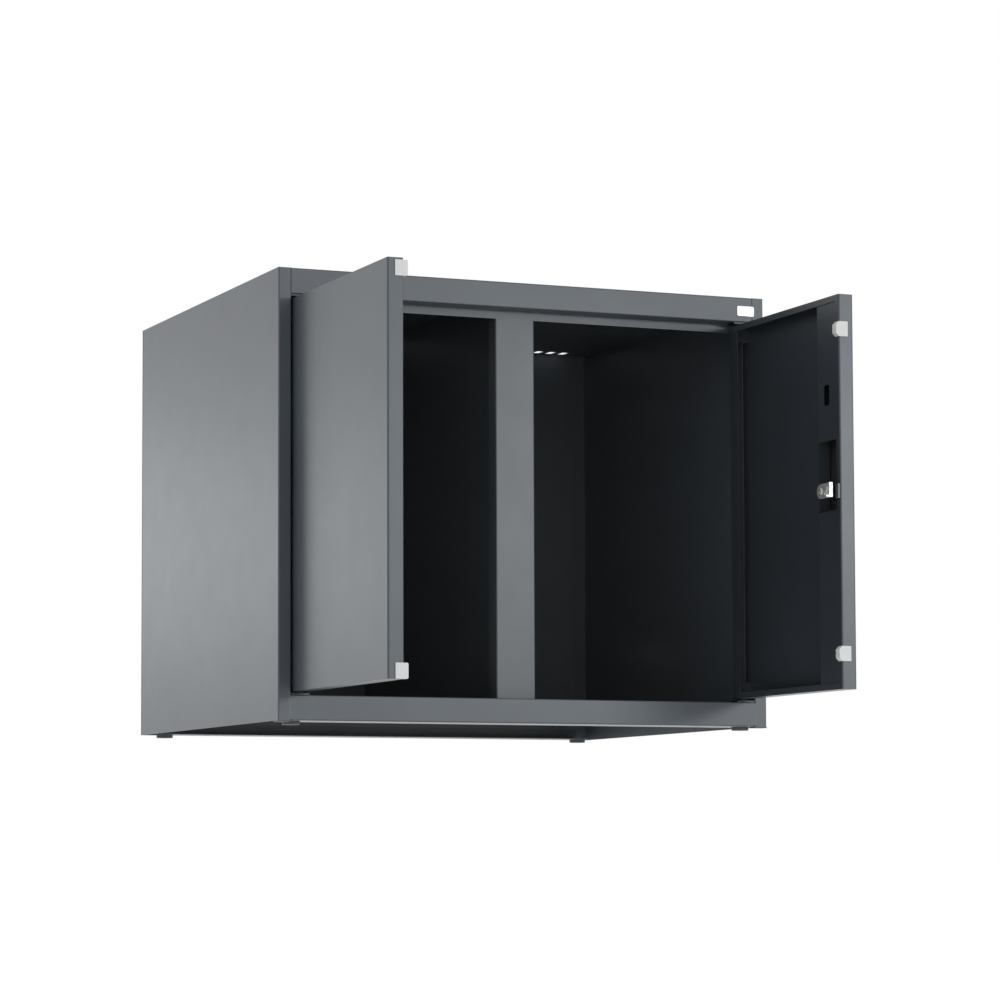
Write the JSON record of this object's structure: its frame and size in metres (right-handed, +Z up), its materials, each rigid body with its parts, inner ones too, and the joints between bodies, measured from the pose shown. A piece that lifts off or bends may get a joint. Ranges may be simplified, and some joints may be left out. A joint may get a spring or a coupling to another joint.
{
  "type": "two-door top cabinet",
  "caption": "Sheet-steel top cabinet with two hinged doors, a fixed centre post, a partition, roof vents and a cylinder cam lock; doors open.",
  "frame": {"origin": "centre of the four base bolt holes, in the plane of the base flanges (the cabinet body's bottom edge), midway across the width and the depth of the body", "axes": "+X to the right seen from the doors, +Y from the doors to the back, +Z up"},
  "size_m": [0.6, 0.7835, 0.504],
  "materials": {
    "outer_paint": "satin powder coat, dark grey",
    "door_paint": "satin powder coat, dark grey",
    "inner_paint": "satin powder coat, black grey",
    "buffer_plastic": "white moulded plastic",
    "foot_plastic": "black moulded plastic",
    "bush_plastic": "black nylon",
    "zinc_steel": "zinc-plated steel",
    "lock_chrome": "bright nickel plate",
    "plate_metal": "satin aluminium"
  },
  "bodies": {
    "cabinet": {"side_panel_left": "outer_paint", "side_panel_right": "outer_paint", "top_panel": "outer_paint", "top_rail": "outer_paint", "bottom_rail": "outer_paint", "corner_welds": "outer_paint", "rear_base_rail": "outer_paint", "floor_panel": "inner_paint", "back_panel": "outer_paint", "partition": "inner_paint", "stop_frame": "outer_paint", "centre_post": "outer_paint", "strike_plate": "zinc_steel", "hinge_brackets": "outer_paint", "hinge_bushes": "bush_plastic", "feet": "foot_plastic", "corner_caps": "foot_plastic", "name_plate": "plate_metal"},
    "left_door": {"left_door_pan": "door_paint", "left_door_stiffener": "inner_paint", "left_hinge_pins": "zinc_steel", "left_hinge_blocks": "zinc_steel", "left_door_buffers": "buffer_plastic"},
    "right_door": {"right_door_pan": "door_paint", "right_door_stiffener": "inner_paint", "right_hinge_pins": "zinc_steel", "right_hinge_blocks": "zinc_steel", "right_door_buffers": "buffer_plastic", "lock_housing": "lock_chrome", "lock_nut": "zinc_steel", "lock_guard": "door_paint"},
    "lock_core": {"lock_plug": "lock_chrome", "lock_cam": "lock_chrome", "cam_screw": "zinc_steel"}
  },
  "joints": [
    {"name": "left_door_hinge", "type": "hinge", "parent": "cabinet", "child": "left_door", "pos_m": [-0.274, -0.242, 0.24925], "axis": [0, 0, 1], "range_deg": [-12, 90]},
    {"name": "right_door_hinge", "type": "hinge", "parent": "cabinet", "child": "right_door", "pos_m": [0.274, -0.242, 0.24925], "axis": [0, 0, -1], "range_deg": [-12, 90]},
    {"name": "lock_turn", "type": "hinge", "parent": "right_door", "child": "lock_core", "pos_m": [0.264, -0.478, 0.24925], "axis": [-1, 0, 0], "range_deg": [0, 90]}
  ]
}
